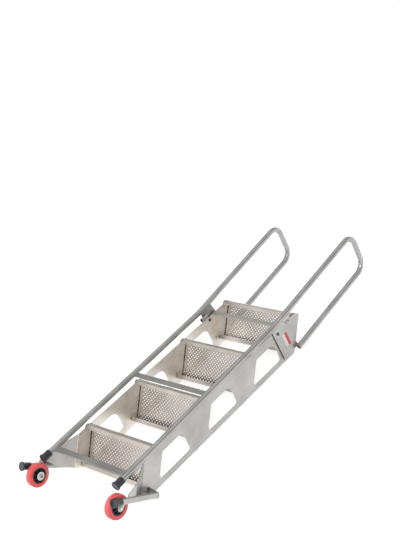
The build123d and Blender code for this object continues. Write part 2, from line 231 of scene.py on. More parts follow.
def heat_tint_and_painted_light(kit, tone, amount):
    """Painted light that makes the inner faces of the stringers paler, with straw and brown heat-tint clouds
    round each step's welded end.
    """
    split = kit.add("ShaderNodeSeparateXYZ")
    kit.link(kit.place, split.inputs["Vector"])
    x, y, z = (split.outputs[axis] for axis in "XYZ")
    inside = kit.math("LESS_THAN", kit.math("ABSOLUTE", x), INNER_X + STRINGER_SHEET / 2)
    rise = kit.math("ADD", kit.math("MULTIPLY", y, SIN), kit.math("MULTIPLY", z, -COS))
    at_first = (FIRST_STEP - STEP_FLANGE / 2) - (MIDDLE * SIN - FRONT_EDGE * COS)
    over = kit.math("DIVIDE", kit.math("SUBTRACT", rise, at_first), STEP_RISE)
    nearest = kit.math("ABSOLUTE", kit.math("SUBTRACT", over, kit.math("ROUND", over)))
    reach = kit.math("SUBTRACT", 1.0, kit.math("MULTIPLY", nearest, STEP_RISE / TINT_REACH))
    near = kit.math("MULTIPLY", kit.math("MAXIMUM", reach, 0.0), inside)
    spots = kit.math("MULTIPLY", near, kit.noise(TINT_SCALE, TINT_DETAIL))
    # Painted light: inner faces take a lighter colour in place of the light that reaches them
    pale = kit.mix(inside, tone, kit.mix(1.0, tone, INNER_PAINTED_LIGHT, "MULTIPLY"))
    return kit.mix(amount, pale, kit.ramp(spots, TINT_STOPS), "MULTIPLY")


def plastic(name, dark, light, roughness, scale, depth):
    """Moulded or rubber surface: cloudy colour with a fine pebble."""
    kit = Nodes(name)
    pebble = kit.noise(scale, PEBBLE_DETAIL)
    patches = kit.noise(PATCH_SCALE, PATCH_DETAIL)
    kit.link(kit.ramp(patches, [(PATCH_LOW, dark), (PATCH_HIGH, light)]), kit.shader.inputs["Base Color"])
    rough = kit.spread(pebble, roughness - PEBBLE_SPREAD, roughness + PEBBLE_SPREAD)
    kit.link(rough, kit.shader.inputs["Roughness"])
    kit.bump(pebble, PEBBLE_BUMP, depth)
    return kit.material


# Steels: dark tone, light tone, grain by axis, roughness and, for the sheets, the share of heat tint, which
# also turns on the painted light on the inner faces
SHEET_STEEL = steel("sheet_steel", (0.40, 0.392, 0.378), (0.56, 0.552, 0.535), (1, 0.05, 1), 0.42, 0.4)
STEP_STEEL = steel("step_steel", (0.45, 0.420, 0.385), (0.61, 0.580, 0.540), (0.05, 1, 1), 0.40)
# Painted shade: the tubes' tone is set darker than the sheets' to stand for the shading on them
TUBE_STEEL = steel("tube_steel", (0.35, 0.347, 0.34), (0.50, 0.496, 0.486), (1, 0.04, 1), 0.20)
BAR_STEEL = steel("bar_steel", (0.33, 0.325, 0.315), (0.45, 0.445, 0.43), (0.05, 1, 1), 0.36)
WELD_STEEL = steel("weld_steel", (0.24, 0.195, 0.150), (0.52, 0.465, 0.395), (1, 1, 1), 0.40)
# Brown of heat tint at the brackets' welds; in the short legs' ends it also stands as painted shade of the
# hollow
BROWN_WELD_AND_HOLLOW_SHADE = steel("brown_weld_and_hollow_shade", (0.055, 0.034, 0.020), (0.24, 0.150, 0.085), (1, 1, 1), 0.45)
# Painted shade: near-black beads that stand for the shadow in the gaps at the steps' ends
GAP_SHADE_WELD = steel("gap_shade_weld", (0.012, 0.010, 0.009), (0.22, 0.180, 0.140), (1, 1, 1), 0.50)
BOLT_STEEL = steel("bolt_steel", (0.50, 0.49, 0.47), (0.66, 0.65, 0.63), (1, 1, 1), 0.28)
DARK_BOLT = steel("dark_bolt", (0.045, 0.045, 0.048), (0.13, 0.13, 0.135), (1, 1, 1), 0.35)
STRIP_STEEL = steel("strip_steel", (0.50, 0.480, 0.450), (0.64, 0.615, 0.580), (0.05, 1, 1), 0.40)

# Plastics and rubber: dark tone, light tone, roughness, and scale and depth of the pebble
RED_TYRE = plastic("red_tyre", (0.86, 0.095, 0.098), (0.95, 0.150, 0.148), 0.28, 420.0, 0.0002)
BLACK_HUB = plastic("black_hub", (0.010, 0.011, 0.013), (0.022, 0.023, 0.026), 0.38, 500.0, 0.0003)
RUBBER = plastic("rubber", (0.016, 0.019, 0.024), (0.036, 0.041, 0.050), 0.22, 600.0, 0.0002)
BEARING = plastic("bearing", (0.88, 0.88, 0.88), (0.95, 0.95, 0.95), 0.30, 300.0, 0.0001)
STICKER_WHITE = plastic("sticker_white", (0.90, 0.91, 0.93), (0.96, 0.97, 0.98), 0.45, 200.0, 0.0001)
STICKER_RED = plastic("sticker_red", (0.80, 0.070, 0.100), (0.90, 0.110, 0.140), 0.45, 200.0, 0.0001)

# Finish of each CAD node, by its full name or by its name without the hand or number
FINISHES = {
    "stringer": SHEET_STEEL, "rail_plate": SHEET_STEEL, "wheel_ear": SHEET_STEEL, "foot_bracket": SHEET_STEEL,
    "rail": TUBE_STEEL, "foot_tube": TUBE_STEEL, "latch_tube": TUBE_STEEL, "brace": BAR_STEEL,
    "pivot_spacer": BAR_STEEL, "axle_bolt": BOLT_STEEL, "pivot_pin": DARK_BOLT, "step": STEP_STEEL,
    "tyre": RED_TYRE, "hub": BLACK_HUB, "foot_cap": RUBBER, "leg_cap": RUBBER, "brace_top": STRIP_STEEL,
}
for node_name, node in nodes.items():
    node.data.materials.clear()
    finish = node_name if node_name in FINISHES else node_name.rsplit("_", 1)[0]
    node.data.materials.append(FINISHES[finish])

# Mesh helpers: corners nearer than these merge, and edges flatter than these angles are smooth
MESH_MERGE, TURN_MERGE = 1e-6, 1e-7
PLAIN_SMOOTH, ROUND_SMOOTH, WELD_SMOOTH = 30.0, 40.0, 60.0


def piece(name, mesh, material, body):
    """Adds a finished mesh to the scene as a piece that rides on a body."""
    obj = bpy.data.objects.new(name, mesh)
    scene.collection.objects.link(obj)
    mesh.materials.append(material)
    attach(obj, body)
    return obj


def mesh_from(bm, name, smooth_angle=PLAIN_SMOOTH):
    """A mesh with merged corners, outward faces and edges sharp past an angle."""
    bmesh.ops.remove_doubles(bm, verts=bm.verts, dist=MESH_MERGE)
    bmesh.ops.recalc_face_normals(bm, faces=bm.faces)
    for face in bm.faces:
        face.smooth = True
    for edge in bm.edges:
        edge.smooth = edge.is_manifold and edge.calc_face_angle(pi) < radians(smooth_angle)
    mesh = bpy.data.meshes.new(name)
    bm.to_mesh(mesh)
    bm.free()
    return mesh


def slab(bm, first, second):
    """Adds the closed form between two like outlines."""
    rings = [[bm.verts.new(point) for point in outline] for outline in (first, second)]
    for ring in rings:
        bm.faces.new(ring)
    near, far = rings
    for k in range(len(near)):
        j = (k + 1) % len(near)
        bm.faces.new((near[k], near[j], far[j], far[k]))


def turn(bm, outline, place, axis, segments):
    """Adds a form turned about an axis from a closed outline of (height from the place, radius) points."""
    spin = Vector(axis).to_track_quat("Z", "X").to_matrix().to_4x4()
    fit = Matrix.Translation(place) @ spin
    rings = []
    for k in range(segments):
        angle = 2 * pi * k / segments
        rings.append([bm.verts.new(fit @ Vector((r * cos(angle), r * sin(angle), h))) for h, r in outline])
    count = len(outline)
    for k in range(segments):
        ring, following = rings[k], rings[(k + 1) % segments]
        for i in range(count):
            j = (i + 1) % count
            if outline[i][1] == 0 and outline[j][1] == 0:
                continue
            bm.faces.new((ring[i], ring[j], following[j], following[i]))
    bmesh.ops.remove_doubles(bm, verts=bm.verts, dist=TURN_MERGE)
    bmesh.ops.dissolve_degenerate(bm, edges=bm.edges, dist=TURN_MERGE)


def arc(height, radius, bend, start, stop, count=5):
    """Points of a round corner in an outline, from one angle in degrees to another."""
    angles = [radians(start + (stop - start) * k / (count - 1)) for k in range(count)]
    return [(height + bend * cos(a), radius + bend * sin(a)) for a in angles]


# Perforated steps
HOLE_PITCH, ROW_PITCH, HOLE_RADIUS = 0.0175, 0.00875, 0.0034
HOLE_CORNERS, BEND_POINTS = 16, 5
PANEL_MARGIN = 0.0085


def bent_edge(top, edge, inward, panel_edge):
    """Outline of a step's bent side: panel rim, bend, flange, bend and lip, inward being +1 or -1 in run."""
    outer, inner = [], []
    low = top - STEP_FLANGE
    for rise, up, start in ((top, -1, 90), (low, 1, 180)):
        for k in range(BEND_POINTS):
            angle = radians(start + 90 * k / (BEND_POINTS - 1))
            for line, radius in ((outer, STEP_BEND), (inner, STEP_BEND - STEP_SHEET)):
                line.append((rise + up * STEP_BEND + radius * sin(angle),
                             edge + inward * (STEP_BEND + radius * cos(angle))))
    outer = [(top, panel_edge)] + outer + [(low, edge + inward * STEP_LIP)]
    inner = [(top - STEP_SHEET, panel_edge)] + inner + [(low + STEP_SHEET, edge + inward * STEP_LIP)]
    return outer + inner[::-1]


def perforated_panel(bm, top, front, rear):
    """A sheet with staggered round holes, each in its own cell, and plain cells at the row ends."""
    rows = int((rear - front) / ROW_PITCH)
    columns = int((STEP_WIDTH - HOLE_PITCH) / HOLE_PITCH)
    first_run = (front + rear - rows * ROW_PITCH) / 2
    half_width = columns * HOLE_PITCH / 2
    levels = (top, top - STEP_SHEET)

    def ring_at(points, rise):
        """Corners at one face of the sheet."""
        return [bm.verts.new(side(x, rise, run)) for x, run in points]

    def cell(x, run):
        """One hole with its wall, in a cell on both faces."""
        wide, deep = HOLE_PITCH / 2, ROW_PITCH / 2
        border = [(wide, 0), (wide, deep), (0, deep), (-wide, deep)]
        border += [(-across, -along) for across, along in border]
        turns = [2 * pi * k / HOLE_CORNERS for k in range(HOLE_CORNERS)]
        hole = [(x + HOLE_RADIUS * cos(t), run + HOLE_RADIUS * sin(t)) for t in turns]
        holes = []
        for rise in levels:
            outer = ring_at([(x + across, run + along) for across, along in border], rise)
            inner = ring_at(hole, rise)
            for k in range(len(border)):
                start, stop = outer[k], outer[(k + 1) % len(border)]
                bm.faces.new((start, stop, inner[(2 * k + 2) % HOLE_CORNERS], inner[2 * k + 1], inner[2 * k]))
            holes.append(inner)
        for k in range(HOLE_CORNERS):
            j = (k + 1) % HOLE_CORNERS
            bm.faces.new((holes[0][k], holes[0][j], holes[1][j], holes[1][k]))

    def plain(x0, x1, run0, run1):
        """A stretch without holes, on both faces."""
        for rise in levels:
            bm.faces.new(ring_at([(x0, run0), (x1, run0), (x1, run1), (x0, run1)], rise))

    for row in range(rows):
        run = first_run + (row + 0.5) * ROW_PITCH
        shift = HOLE_PITCH / 2 if row % 2 else 0.0
        for column in range(columns - row % 2):
            cell(-half_width + (column + 0.5) * HOLE_PITCH + shift, run)
        for sign in (-1, 1):
            plain(sign * (half_width - shift), sign * INNER_X, run - ROW_PITCH / 2, run + ROW_PITCH / 2)
    last_run = first_run + rows * ROW_PITCH
    plain(-INNER_X, INNER_X, front, first_run)
    plain(-INNER_X, INNER_X, last_run, rear)


def step_sheet(number):
    """One step: perforated panel between two bent sides."""
    top = FIRST_STEP + number * STEP_RISE
    front = number * STEP_RUN
    rear = front + STEP_DEPTH
    bm = bmesh.new()
    perforated_panel(bm, top, front + PANEL_MARGIN, rear - PANEL_MARGIN)
    for edge, inward in ((front, 1), (rear, -1)):
        profile = bent_edge(top, edge, inward, edge + inward * PANEL_MARGIN)
        slab(bm, *([side(x, *point) for point in profile] for x in (-INNER_X, INNER_X)))
    name = f"step_{number + 1}"
    obj = piece(f"{name}_sheet", mesh_from(bm, name), STEP_STEEL, "stair_frame")
    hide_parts(name)


# Bolts, nuts and washers
HEX_SIDES, HEX_CHAMFER, HEX_TOP_SHARE = 6, 0.18, 0.86
WASHER_EDGE, WASHER_EDGE_POINTS, WASHER_SEGMENTS = 0.4, 3, 32
DOME_ANGLES, DOME_SEGMENTS = (20, 40, 60, 78), 24


def hexagon(bm, place, axis, height, radius):
    """A six-sided bolt head or nut with its upper corners turned off."""
    outline = [(0, 0), (0, radius), (height - height * HEX_CHAMFER, radius)]
    turn(bm, outline + [(height, radius * HEX_TOP_SHARE), (height, 0)], place, axis, HEX_SIDES)


def washer(bm, place, axis, height, radius):
    """A flat disc with a rounded upper edge."""
    edge = height * WASHER_EDGE
    rounding = arc(height - edge, radius - edge, edge, 90, 0, WASHER_EDGE_POINTS)
    turn(bm, [(0, 0), (0, radius)] + rounding + [(height, 0)], place, axis, WASHER_SEGMENTS)


def dome(bm, place, axis, height, radius):
    """A round-headed fastener."""
    angles = [radians(a) for a in DOME_ANGLES]
    outline = [(0, 0), (0, radius)] + [(height * sin(a), radius * cos(a)) for a in angles] + [(height, 0)]
    turn(bm, outline, place, axis, DOME_SEGMENTS)


# Wheels: cast tyre, ribbed hub with a bearing ring, hexagon bolt and nut
TYRE_ROUND, TYRE_LIP, TYRE_EDGE = 0.0058, 0.0015, 0.0012
TYRE_ROUND_POINTS, TYRE_SEGMENTS = 7, 80
HUB_EDGE, HUB_SEGMENTS = 0.0012, 64
RIB_COUNT, RIB_SHEET, RIB_PROUD, RIB_SUNK = 8, 0.0028, 0.0030, 0.0020
BEARING_RADIUS, BEARING_BORE, BEARING_SHEET, BEARING_EDGE = 0.0178, 0.0114, 0.0012, 0.0006
BEARING_SEGMENTS, SHANK_SEGMENTS = 48, 32
HEAD_DISC, HEAD_HEX_SHARE = 0.0012, 0.92
NUT_DISC, NUT_DISC_RADIUS = 0.0014, 0.0110


def tyre_mesh(axle):
    """A band with rounded shoulders and a small lip at each side of the hub."""
    half, shoulder = WHEEL_WIDTH / 2, WHEEL_RADIUS - TYRE_ROUND
    round_low = arc(-half + TYRE_ROUND, shoulder, TYRE_ROUND, 180, 90, TYRE_ROUND_POINTS)
    round_high = arc(half - TYRE_ROUND, shoulder, TYRE_ROUND, 90, 0, TYRE_ROUND_POINTS)
    lip = TYRE_INNER_RADIUS + TYRE_LIP
    outline = [(-half + TYRE_EDGE, TYRE_INNER_RADIUS), (-half, lip)] + round_low + round_high
    outline += [(half, lip), (half - TYRE_EDGE, TYRE_INNER_RADIUS)]
    bm = bmesh.new()
    turn(bm, outline, axle, (1, 0, 0), TYRE_SEGMENTS)
    return mesh_from(bm, "tyre", ROUND_SMOOTH)


def hub_mesh(axle):
    """Boss, web and rim with eased edges, and ribs on both sides of the web."""
    half, web, band = HUB_WIDTH / 2, HUB_WEB / 2, WHEEL_WIDTH / 2
    rim, bore = TYRE_INNER_RADIUS - HUB_RIM, AXLE_RADIUS + AXLE_CLEARANCE
    right = [(web, HUB_BOSS_RADIUS), (web, rim), (band - HUB_EDGE, rim)]
    right += [(band, rim + HUB_EDGE), (band, TYRE_INNER_RADIUS)]
    outline = [(-half, bore), (-half, HUB_BOSS_RADIUS - HUB_EDGE), (HUB_EDGE - half, HUB_BOSS_RADIUS)]
    outline += [(-h, r) for h, r in right]
    outline += right[::-1]
    outline += [(half - HUB_EDGE, HUB_BOSS_RADIUS), (half, HUB_BOSS_RADIUS - HUB_EDGE), (half, bore)]
    bm = bmesh.new()
    turn(bm, outline, axle, (1, 0, 0), HUB_SEGMENTS)
    rib_ends = ((HUB_BOSS_RADIUS - HUB_EDGE, band + RIB_PROUD), (rim + HUB_EDGE, band - RIB_SUNK))
    across = RIB_SHEET / 2
    for k in range(RIB_COUNT):
        spin = Matrix.Rotation(2 * pi * k / RIB_COUNT, 3, "X")
        for sign in (-1, 1):
            ends = []
            for radius, reach in rib_ends:
                low, high = sign * (web - HUB_EDGE), sign * reach
                corners = ((low, -across), (low, across), (high, across), (high, -across))
                ends.append([axle + spin @ Vector((x, y, radius)) for x, y in corners])
            slab(bm, *ends)
    return mesh_from(bm, "hub")


def bearing_mesh(axle, sign):
    """Pale ring round the nut on the hub's inner face."""
    face = axle - Vector((sign * HUB_WIDTH / 2, 0, 0))
    outline = [(0, BEARING_BORE), (0, BEARING_RADIUS), (BEARING_SHEET - BEARING_EDGE, BEARING_RADIUS)]
    outline += [(BEARING_SHEET, BEARING_RADIUS - BEARING_EDGE), (BEARING_SHEET, BEARING_BORE)]
    bm = bmesh.new()
    turn(bm, outline, face, (-sign, 0, 0), BEARING_SEGMENTS)
    return mesh_from(bm, "bearing")


def axle_bolt_mesh(axle, sign):
    """Shank, hexagon head and washer outside the ear, hexagon nut inside the wheel."""
    out = Vector((sign, 0, 0))
    ear = axle + out * (HUB_WIDTH / 2 + SIDE_PLAY + EAR_SHEET)
    inner = axle - out * (HUB_WIDTH / 2 + SIDE_PLAY)
    length = (ear - inner).length + BOLT_HEAD
    shank = [(0, 0), (0, AXLE_RADIUS), (length, AXLE_RADIUS), (length, 0)]
    bm = bmesh.new()
    turn(bm, shank, inner - out * BOLT_HEAD, out, SHANK_SEGMENTS)
    washer(bm, ear, out, HEAD_DISC, BOLT_HEAD_RADIUS)
    hexagon(bm, ear + out * HEAD_DISC, out, BOLT_HEAD - HEAD_DISC, BOLT_HEAD_RADIUS * HEAD_HEX_SHARE)
    washer(bm, inner, -out, NUT_DISC, NUT_DISC_RADIUS)
    hexagon(bm, inner - out * NUT_DISC, -out, BOLT_HEAD - NUT_DISC, BOLT_HEAD_RADIUS)
    return mesh_from(bm, "axle_bolt")


def wheel(hand, sign):
    """Tyre, hub and bearing ring that turn, and the bolt that carries them."""
    axle = Vector((sign * AXLE.x, AXLE.y, AXLE.z))
    body = f"wheel_{hand}"
    tyre = piece(f"cast_tyre_{hand}", tyre_mesh(axle), RED_TYRE, body)
    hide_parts(f"tyre_{hand}")
    hub = piece(f"ribbed_hub_{hand}", hub_mesh(axle), BLACK_HUB, body)
    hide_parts(f"hub_{hand}")
    piece(f"bearing_{hand}", bearing_mesh(axle, sign), BEARING, body)
    bolt = piece(f"hex_bolt_{hand}", axle_bolt_mesh(axle, sign), BOLT_STEEL, "stair_frame")
    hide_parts(f"axle_bolt_{hand}")


# Rubber caps: a wide base with a rim round a sunk face, a narrower body and a hollow for the tube
CAP_BASE_RADIUS, CAP_BODY_RADIUS, CAP_ROUND = 0.0193, 0.0158, 0.0018
CAP_BASE_HEIGHT, CAP_TAPER_END, CAP_SINK = 0.0075, 0.0170, 0.0012
CAP_SUNK_SHARE, CAP_RIM_SHARE = 0.72, 0.80
CAP_KNEE_SHARE, CAP_KNEE_SWELL, CAP_SEGMENTS = 0.7, 1.05, 56


def cap_mesh(base, axis):
    """One cap, standing on its base with its mouth up the tube's axis."""
    rim, mouth = CAP_BASE_RADIUS - CAP_ROUND, CAP_BODY_RADIUS - CAP_ROUND
    outline = [(CAP_SINK, 0), (CAP_SINK, CAP_BASE_RADIUS * CAP_SUNK_SHARE)]
    outline += [(0, CAP_BASE_RADIUS * CAP_RIM_SHARE), (0, rim)]
    outline += arc(CAP_ROUND, rim, CAP_ROUND, 180, 90)
    outline += arc(CAP_BASE_HEIGHT - CAP_ROUND, rim, CAP_ROUND, 90, 30)
    outline += [(CAP_TAPER_END * CAP_KNEE_SHARE, CAP_BODY_RADIUS * CAP_KNEE_SWELL)]
    outline += [(CAP_TAPER_END, CAP_BODY_RADIUS)]
    outline += arc(CAP_LENGTH - CAP_ROUND, mouth, CAP_ROUND, 90, 0)
    outline += [(CAP_LENGTH, TUBE_RADIUS), (CAP_FLOOR, TUBE_RADIUS), (CAP_FLOOR, 0)]
    bm = bmesh.new()
    turn(bm, outline, base, axis, CAP_SEGMENTS)
    return mesh_from(bm, "cap", ROUND_SMOOTH)


def caps(hand, sign):
    """The caps of one side's foot tube and rear leg."""
    foot_base, leg_base = foot_axis(sign, 0.0), leg_axis(sign, 0.0)
    for name, base, axis, body in (
        (f"foot_cap_{hand}", foot_base, foot_axis(sign, 1.0) - foot_base, "stair_frame"),
        (f"leg_cap_{hand}", leg_base, leg_axis(sign, 1.0) - leg_base, "rear_frame"),
    ):
        cup = piece(f"{name}_cup", cap_mesh(base, axis), RUBBER, body)
        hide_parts(name)


# Bolts near the fold, by distance along the ladder and up from its pivot, and dark plugs in the short legs'
# open ends as painted shade of the hollow
CORNER_BOLTS = ((0.0719, 0.0090), (0.0882, 0.0100))
STRINGER_BOLT, LOCK_BOLT = (-0.0331, -0.0359), (0.0027, -0.1020)
SMALL_BOLT_RADIUS, SMALL_BOLT_HEIGHT, LOCK_BOLT_RADIUS = 0.0038, 0.0022, 0.0085
LOCK_WASHER, LOCK_HEX, LOCK_TIP = 0.0015, 0.0050, 0.0030
LOCK_WASHER_SHARE, LOCK_TIP_SHARE = 1.5, 0.6
PLUG_SINK, PLUG_SHOULDER, PLUG_DEPTH = 0.0004, 0.0012, 0.0060
PLUG_FACE_SHARE, PLUG_SHARE, PLUG_SEGMENTS = 0.6, 0.86, 40


def corner_bolts(hand, sign):
    """Two dark bolts at the outer face's upper rear corner."""
    bm = bmesh.new()
    for bolt in CORNER_BOLTS:
        dome(bm, from_pivot(sign * OUTER_X, *bolt), (sign, 0, 0), SMALL_BOLT_HEIGHT, SMALL_BOLT_RADIUS)
    mesh = mesh_from(bm, "corner_bolts")
    piece(f"corner_bolts_{hand}", mesh, DARK_BOLT, "stair_frame")


def lock_bolt(hand, sign):
    """Hexagon bolt with a washer inside the stringer, and a small round head outside it."""
    out = Vector((sign, 0, 0))
    lock = from_pivot(sign * INNER_X, *LOCK_BOLT)
    bm = bmesh.new()
    washer(bm, lock, -out, LOCK_WASHER, LOCK_BOLT_RADIUS * LOCK_WASHER_SHARE)
    hexagon(bm, lock - out * LOCK_WASHER, -out, LOCK_HEX, LOCK_BOLT_RADIUS)
    dome(bm, lock - out * (LOCK_WASHER + LOCK_HEX), -out, LOCK_TIP, LOCK_BOLT_RADIUS * LOCK_TIP_SHARE)
    dome(bm, from_pivot(sign * OUTER_X, *STRINGER_BOLT), out, SMALL_BOLT_HEIGHT, SMALL_BOLT_RADIUS)
    piece(f"lock_bolt_{hand}", mesh_from(bm, "lock_bolt"), BOLT_STEEL, "stair_frame")


def hollow_shade_plug(hand, sign):
    """Dark brown disc in the open end of the handrail loop's short leg: brown of heat tint, its darkness
    painted shade of the hollow tube.
    """
    end = loop_point(sign * TUBE_X, SHORT_LEG_START, LOOP_WIDTH)
    inward = loop_point(sign * TUBE_X, SHORT_LEG_START + 1, LOOP_WIDTH) - end
    face, body = TUBE_RADIUS * PLUG_FACE_SHARE, TUBE_RADIUS * PLUG_SHARE
    outline = [(PLUG_SINK, 0), (PLUG_SINK, face), (PLUG_SHOULDER, body), (PLUG_DEPTH, body), (PLUG_DEPTH, 0)]
    bm = bmesh.new()
    turn(bm, outline, end, inward, PLUG_SEGMENTS)
    # Painted shade: the dark brown disc stands for the shaded hollow of the open end
    piece(f"hollow_shade_plug_{hand}", mesh_from(bm, "hollow_shade_plug"), BROWN_WELD_AND_HOLLOW_SHADE, "rear_frame")


# Blank two-tone sticker on the right rail plate, placed from the fold pivot
STICKER_START, STICKER_END, STICKER_RED_SHARE = 0.0190, 0.0510, 0.48
STICKER_TOP, STICKER_BOTTOM, STICKER_SKEW = -0.0230, -0.0880, 0.0080
STICKER_SHEET = 0.0003


def sticker():
    """A white and a red field side by side."""
    split = STICKER_END - (STICKER_END - STICKER_START) * STICKER_RED_SHARE
    for name, first, last, material in (
        ("sticker_white", STICKER_START, split, STICKER_WHITE),
        ("sticker_red", split, STICKER_END, STICKER_RED),
    ):
        corners = ((first, STICKER_TOP), (last, STICKER_TOP),
                   (last + STICKER_SKEW, STICKER_BOTTOM), (first + STICKER_SKEW, STICKER_BOTTOM))
        levels = (PLATE_FACE_X, PLATE_FACE_X + STICKER_SHEET)
        bm = bmesh.new()
        slab(bm, *([from_pivot(x, *corner) for corner in corners] for x in levels))
        piece(name, mesh_from(bm, name), material, "rear_frame")


# Webs that close the feet
GUSSET_FRONT, GUSSET_SHEET, GUSSET_LAP = -0.0045, 0.0020, 0.0010
GUSSET_HIGH_SHARE, GUSSET_LOW_SHARE = 0.8, 0.4


def foot_gussets():
    """Thin webs that close the opening between flare, bracket and foot tube."""
    bm = bmesh.new()
    for sign in (-1, 1):
        high, low = foot_axis(sign, FOOT_TUBE_TOP), foot_axis(sign, FLANGE_HIGH)
        inward, root = sign * TUBE_RADIUS, sign * (OUTER_X - GUSSET_LAP)
        corners = ((root, FOOT_TUBE_TOP), (high.x - inward * GUSSET_HIGH_SHARE, FOOT_TUBE_TOP),
                   (low.x - inward * GUSSET_LOW_SHARE, FLANGE_HIGH), (root, FLARE_TOP))
        runs = (GUSSET_FRONT, GUSSET_FRONT + GUSSET_SHEET)
        slab(bm, *([side(x, rise, run) for x, rise in corners] for run in runs))
    piece("foot_gussets", mesh_from(bm, "foot_gussets"), SHEET_STEEL, "stair_frame")


# Weld beads: rippled lines of metal in the corners where sheets, bars and tubes meet
BEAD_SIDES, BEAD_STEP, BEAD_RIPPLE, RIPPLE_RATE = 7, 0.55, 0.28, 1.9
WANDER, WANDER_RATE, WANDER_SHIFT = 0.22, 310.0, 90.0
RING_POINTS = 28


def bead(bm, points, radius):
    """Adds one bead along points, with a ripple and a slight wander along it."""
    line = [Vector(p) for p in points]
    turns = [2 * pi * i / BEAD_SIDES for i in range(BEAD_SIDES)]
    rings, travelled = [], 0.0
    for start, stop in zip(line, line[1:]):
        length = (stop - start).length
        count = max(2, int(length / (radius * BEAD_STEP)))
        spin = (stop - start).to_track_quat("Z", "X").to_matrix()
        for k in range(count + 1):
            distance = travelled + length * k / count
            swell = radius * (1 - BEAD_RIPPLE + BEAD_RIPPLE * abs(sin(distance / radius * RIPPLE_RATE)))
            swell *= 1 + WANDER * sin(distance * WANDER_RATE + start.y * WANDER_SHIFT)
            centre = start.lerp(stop, k / count)
            ring = [centre + spin @ Vector((swell * cos(t), swell * sin(t), 0)) for t in turns]
            rings.append([bm.verts.new(point) for point in ring])
        travelled += length
    for ring, following in zip(rings, rings[1:]):
        for i in range(BEAD_SIDES):
            j = (i + 1) % BEAD_SIDES
            bm.faces.new((ring[i], ring[j], following[j], following[i]))
    bm.faces.new(rings[0])
    bm.faces.new(rings[-1])


def circle(centre, axis, radius):
    """Points round an axis, with the first one again at the end."""
    spin = Vector(axis).to_track_quat("Z", "X").to_matrix()
    turns = [2 * pi * k / RING_POINTS for k in range(RING_POINTS + 1)]
    return [centre + spin @ Vector((radius * cos(t), radius * sin(t), 0)) for t in turns]


def weld_piece(name, bm, material, body):
    """Adds beads to the scene as one piece of steel."""
    piece(name, mesh_from(bm, name, WELD_SMOOTH), material, body)


# Beads by radius, and how far their lines stand from the faces and ends that they follow
SEAM_BEAD, STITCH_BEAD, LIP_BEAD, TUBE_BEAD = 0.0021, 0.0017, 0.00136, 0.0018
SEAM_INSET, SEAM_DROP, STITCH_PROUD = 0.0008, 0.0006, 0.0004
SEAM_FRONT_SHARE, SEAM_REAR_SHARE = 0.4, 0.3
ROOT_BEAD, ROOT_PROUD, ROOT_DROP, ROOT_SPAN = 0.0040, 0.0010, 0.0016, (0.06, 0.94)
TUBE_TOP_DROP, TUBE_TOP_PROUD, TUBE_BACK_LINES = 0.0012, 0.0002, (-0.0016, 0.0016)
BRACE_PROUD = 0.0004
PLATE_BEAD, PLATE_BEAD_PROUD, PLATE_BEAD_DOWN = 0.0022, 0.0012, 0.0080
PLATE_BEAD_INSET, LAP_BEAD_SPAN = 0.004, (0.001, 0.013)


def step_seams():
    """Near-black beads as painted shade of the gaps where panels and lips end at the stringers, and stitches
    at the ends of flanges.
    """
    seams, stitches = bmesh.new(), bmesh.new()
    for number in range(STEP_COUNT):
        top = FIRST_STEP + number * STEP_RISE
        front, rear = number * STEP_RUN, number * STEP_RUN + STEP_DEPTH
        under = top - STEP_SHEET - SEAM_DROP
        low = top - STEP_FLANGE
        panel_runs = (front + STEP_LIP * SEAM_FRONT_SHARE, rear - STEP_LIP * SEAM_REAR_SHARE)
        for sign in (-1, 1):
            x = sign * (INNER_X - SEAM_INSET)
            bead(seams, [side(x, under, run) for run in panel_runs], SEAM_BEAD)
            for run, outward in ((front, -1), (rear, 1)):
                edge = run + outward * STITCH_PROUD
                flange = (top - STEP_BEND, low + STEP_BEND)
                bead(stitches, [side(x, rise, edge) for rise in flange], STITCH_BEAD)
                lip = (run - outward * STEP_BEND, run - outward * STEP_LIP)
                bead(seams, [side(x, low - STITCH_PROUD, lip_run) for lip_run in lip], LIP_BEAD)
    # The seams are painted shade of the gaps at the steps' ends
    weld_piece("step_seams", seams, GAP_SHADE_WELD, "stair_frame")
    weld_piece("step_stitches", stitches, WELD_STEEL, "stair_frame")


def foot_welds():
    """Beads at the brackets' roots, round the foot tubes' tops and down the tubes' backs."""
    roots, tubes = bmesh.new(), bmesh.new()
    for sign in (-1, 1):
        root_x, root_rise = sign * (OUTER_X + ROOT_PROUD), FOOT_TUBE_TOP - ROOT_DROP
        root_runs = [FOOT_FRONT + share * BRACKET_ROOT for share in ROOT_SPAN]
        bead(roots, [side(root_x, root_rise, run) for run in root_runs], ROOT_BEAD)
        top = foot_axis(sign, FOOT_TUBE_TOP - TUBE_TOP_DROP)
        axis = foot_axis(sign, 1.0) - foot_axis(sign, 0.0)
        bead(tubes, circle(top, axis, TUBE_RADIUS + TUBE_TOP_PROUD), TUBE_BEAD)
        back = side(0, 0, TUBE_RADIUS) - side(0, 0, 0)
        for offset in TUBE_BACK_LINES:
            shift = back + Vector((offset, 0, 0))
            bead(tubes, [foot_axis(sign, rise) + shift for rise in (FLANGE_LOW, FLANGE_HIGH)], TUBE_BEAD)
    weld_piece("foot_welds", tubes, WELD_STEEL, "stair_frame")
    weld_piece("bracket_welds", roots, BROWN_WELD_AND_HOLLOW_SHADE, "stair_frame")


